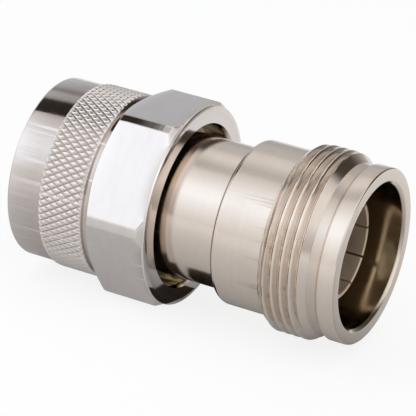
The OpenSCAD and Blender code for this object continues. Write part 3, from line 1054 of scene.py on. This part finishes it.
# Stops of light: degrees about the axis from +Y over the top, brightness and tint.
WHITE = (1, 1, 1)
COOL = (0.97, 1, 1.06)
CREAM = (1, 0.98, 0.96)
IVORY = (1, 0.95, 0.9)
AMBER = (1, 0.85, 0.7)
PLUG_END_LIGHT = (
    (0, 0.44, WHITE),
    (7, 0.36, WHITE),
    (17, 0.38, WHITE),
    (27, 0.44, WHITE),
    (47, 0.48, WHITE),
    (53, 0.6, WHITE),
    (66, 0.66, WHITE),
    (77, 0.56, WHITE),
    (84, 0.46, WHITE),
    (91, 0.46, WHITE),
    (98, 0.62, WHITE),
    (112, 0.79, (0.96, 1, 1.04)),
    (127, 0.98, (0.94, 1, 1.07)),
    (140, 1.02, (0.93, 1, 1.08)),
    (157, 0.86, (0.96, 1, 1.05)),
    (167, 0.76, (0.98, 1, 1.02)),
    (180, 0.64, WHITE),
    (198, 0.52, CREAM),
    (346, 0.7, WHITE),
    (354, 0.52, WHITE),
)
SCREEN_LIGHT = (
    (14, 0.49, COOL),
    (30, 0.43, COOL),
    (44, 0.38, COOL),
    (54, 0.22, (0.98, 1, 1.03)),
    (62, 0.43, COOL),
    (71, 0.36, WHITE),
    (76, 0.03, AMBER),
    (97, 0.02, AMBER),
)
JACK_END_LIGHT = (
    (0, 0.2, IVORY),
    (14, 0.09, (1, 0.9, 0.8)),
    (28, 0.05, AMBER),
    (54, 0.05, AMBER),
    (68, 0.6, WHITE),
    (90, 0.75, WHITE),
    (132, 0.8, WHITE),
    (150, 0.58, WHITE),
    (170, 0.44, CREAM),
    (200, 0.44, CREAM),
    (340, 0.3, IVORY),
)


def ramp(tree, part, stops):
    """The light of a ramp whose stops are (degrees, brightness, tint)."""
    node = add(tree, "ValToRGB", {0: part})
    for index, (degrees, level, hue) in enumerate(stops):
        place = degrees / 360
        elements = node.color_ramp.elements
        stop = elements[index] if index < 2 else elements.new(place)
        stop.position = place
        stop.color = (*(level * h for h in hue), 1.0)
    return node.outputs["Color"]


def ray_is(tree, *kinds):
    """1 for the named kinds of ray, 0 for the rest."""
    path = add(tree, "LightPath").outputs
    total, *others = (path[f"Is {kind} Ray"] for kind in kinds)
    for other in others:
        total = maths(tree, "MAXIMUM", total, other)
    return total


def sheet(name, back, front, left, right, height):
    """A level rectangle of one face, with its plain material."""
    mesh = bpy.data.meshes.new(name)
    corners = [(back, left), (front, left), (front, right), (back, right)]
    mesh.from_pydata([(x, y, height) for x, y in corners], [], [(0, 1, 2, 3)])
    finish, tree, shader = new_finish(name)
    mesh.materials.append(finish)
    return put(name, mesh), tree, shader


class ADAPTER_OT_studio(Operator):
    """Set up the camera, the pale floor and the light tent"""

    bl_idname = "adapter.studio"
    bl_label = "Studio"

    def execute(self, context):
        studio = context.scene.adapter_studio
        context.scene.camera = self.camera(studio)
        context.scene.world = self.world()
        self.floor(studio)
        self.tent(studio)
        self.shade(studio)
        self.card()
        context.scene.view_settings.view_transform = "Standard"
        return {"FINISHED"}

    def camera(self, studio):
        lens = bpy.data.cameras.new("camera")
        lens.lens = studio.lens
        lens.clip_start = 0.01
        lens.clip_end = 10.0
        camera = put("camera", lens)
        azimuth, elevation = studio.camera_azimuth, studio.camera_elevation
        level = math.cos(elevation)
        back = Vector((math.sin(azimuth) * level, -math.cos(azimuth) * level, math.sin(elevation)))
        upright = (-back).to_track_quat("-Z", "Y").to_matrix()
        turn = (upright @ Matrix.Rotation(studio.camera_roll, 3, "Z")).to_4x4()
        target = Vector(studio.camera_target)
        camera.matrix_world = Matrix.Translation(target + back * studio.camera_distance) @ turn
        return camera

    def world(self):
        """Soft light on the pieces, and white where the camera or a mirror looks."""
        world = bpy.data.worlds.new("studio")
        world.use_nodes = True
        tree = world.node_tree
        tree.nodes.clear()
        plain = add(tree, "Background", {"Color": (1, 1, 1, 1), "Strength": 0.6})
        white = add(tree, "Background", {"Color": (1, 1, 1, 1), "Strength": 1.0})
        seen = ray_is(tree, "Camera", "Glossy", "Transmission")
        both = add(tree, "MixShader", {0: seen, 1: plain.outputs[0], 2: white.outputs[0]})
        add(tree, "OutputWorld", {"Surface": both.outputs[0]})
        return world

    def floor(self, studio):
        """A pale floor that holds the shadow, glows for the camera and dims near the part in reflections."""
        ends = (-FLOOR_REACH, FLOOR_REACH)
        floor, tree, shader = sheet("floor", *ends, *ends, FLOOR_HEIGHT)
        colour = with_alpha(studio.floor_colour)
        fill(tree, shader, {"Base Color": colour, "Roughness": 0.7, "Specular IOR Level": 0.2})
        seen = ray_is(tree, "Camera")
        mirrored = ray_is(tree, "Glossy", "Transmission")
        # painted shadow: in reflections the glow is 0.13 under the part and rises to 0.95 from 62.5 mm out
        _, apart = object_place(tree)
        away = maths(tree, "MULTIPLY", maths(tree, "ABSOLUTE", apart["Y"]), 16.0)
        level = scaled(tree, maths(tree, "POWER", away, 0.45), 0.13, 0.95)
        strength = add(tree, "Mix", {0: seen, 2: level, 3: CAMERA_GLOW})
        glow = add(tree, "Emission", {"Color": (1, 1, 1, 1), "Strength": strength.outputs[0]})
        camera_share = maths(tree, "MULTIPLY", seen, CAMERA_SHARE)
        mirror_share = maths(tree, "MULTIPLY", mirrored, MIRROR_SHARE)
        weight = maths(tree, "MAXIMUM", camera_share, mirror_share)
        mix = add(tree, "MixShader", {0: weight, 1: shader.outputs[0], 2: glow.outputs[0]})
        fill(tree, tree.nodes["Material Output"], {"Surface": mix.outputs[0]})

    def tent(self, studio):
        """A round tent about the part's axis, bright in front and above and dim behind."""
        reach = studio.tent_radius
        ends = [far * reach for far in (-2.2, -0.7, 0.7, 2.2)]
        _, tree, part, place = self.shell("light_tent", ends, reach, even_angles(180))
        along = eased(tree, place, -0.1 * reach, 0.25 * reach)
        light = mixed(tree, along, ramp(tree, part, PLUG_END_LIGHT), ramp(tree, part, JACK_END_LIGHT))
        self.shine(tree, light, studio.tent_level)

    def shade(self, studio):
        """A curved screen near the nut, seen only in reflections, that dims its grip and skirt."""
        turns = np.radians(np.linspace(SCREEN_LIGHT[0][0], SCREEN_LIGHT[-1][0], 60))
        gap = (np.arange(turns.size) == turns.size - 1)[None, :]
        screen, tree, part, _ = self.shell("screen", SCREEN_ENDS, SCREEN_RADIUS, turns, gap)
        self.shine(tree, ramp(tree, part, SCREEN_LIGHT), studio.tent_level)
        screen.visible_diffuse = False

    def card(self):
        """A dark card under the waist, seen only in reflections as painted shade under the part."""
        ends = (NUT_BACK + 0.2 * MM, JACK_BACK - 2.5 * MM)
        card, _, shader = sheet("painted_shade_card", *ends, -6.9 * MM, 3 * MM, FLOOR_HEIGHT + 0.2 * MM)
        shader.inputs["Base Color"].default_value = (0.03, 0.02, 0.012, 1)
        card.visible_camera = False
        card.visible_diffuse = False
        card.visible_shadow = False

    def shell(self, name, ends, radius, angles, gap=None):
        """Part of a cylinder about the axis that can't be seen by the camera.

        It comes with its node tree, the share of a full turn counted from +Y over the top, and the place
        along the axis.
        """
        skin = Skin()
        skin.cover(skin.rows(np.array(ends)[:, None], radius, angles[None, :]), gap)
        piece = put(name, skin.mesh(name))
        finish, tree, _ = new_finish(name)
        tree.nodes.clear()
        piece.data.materials.append(finish)
        piece.visible_camera = False
        piece.visible_shadow = False
        _, apart = object_place(tree)
        turn = maths(tree, "ARCTAN2", apart["Z"], apart["Y"])
        part = maths(tree, "DIVIDE", maths(tree, "WRAP", turn, FULL_TURN, 0.0), FULL_TURN)
        return piece, tree, part, apart["X"]

    def shine(self, tree, light, level):
        glow = add(tree, "Emission", {"Color": light, "Strength": level})
        add(tree, "OutputMaterial", {"Surface": glow.outputs[0]})


class ADAPTER_PT_panel(Panel):
    """Lists the sizes and finishes, with a button for each piece"""

    bl_idname = "ADAPTER_PT_panel"
    bl_label = "Coaxial Adapter"
    bl_space_type = "VIEW_3D"
    bl_region_type = "UI"
    bl_category = "Adapter"

    def draw(self, context):
        for operator in OPERATORS:
            self.layout.operator(operator.bl_idname)
        for name, group in SETTINGS.items():
            box = self.layout.box()
            box.label(text=group.__doc__)
            for key in group.__annotations__:
                box.prop(getattr(context.scene, name), key)


SETTINGS = {
    "adapter_jack": JackSizes,
    "adapter_contacts": ContactSizes,
    "adapter_stem": StemSizes,
    "adapter_nut": NutSizes,
    "adapter_finishes": Finishes,
    "adapter_studio": StudioSettings,
}
OPERATORS = (
    ADAPTER_OT_jack,
    ADAPTER_OT_stem,
    ADAPTER_OT_nut,
    ADAPTER_OT_basket,
    ADAPTER_OT_centre_line,
    ADAPTER_OT_beads,
    ADAPTER_OT_ring_and_seal,
    ADAPTER_OT_studio,
)


def register():
    for kind in (*SETTINGS.values(), *OPERATORS, ADAPTER_PT_panel):
        bpy.utils.register_class(kind)
    for name, group in SETTINGS.items():
        setattr(bpy.types.Scene, name, PointerProperty(type=group))


def unregister():
    for name in SETTINGS:
        delattr(bpy.types.Scene, name)
    for kind in reversed((*SETTINGS.values(), *OPERATORS, ADAPTER_PT_panel)):
        bpy.utils.unregister_class(kind)


def main():
    register()
    for operator in OPERATORS:
        family, name = operator.bl_idname.split(".")
        getattr(getattr(bpy.ops, family), name)()


if __name__ == "__main__":
    main()
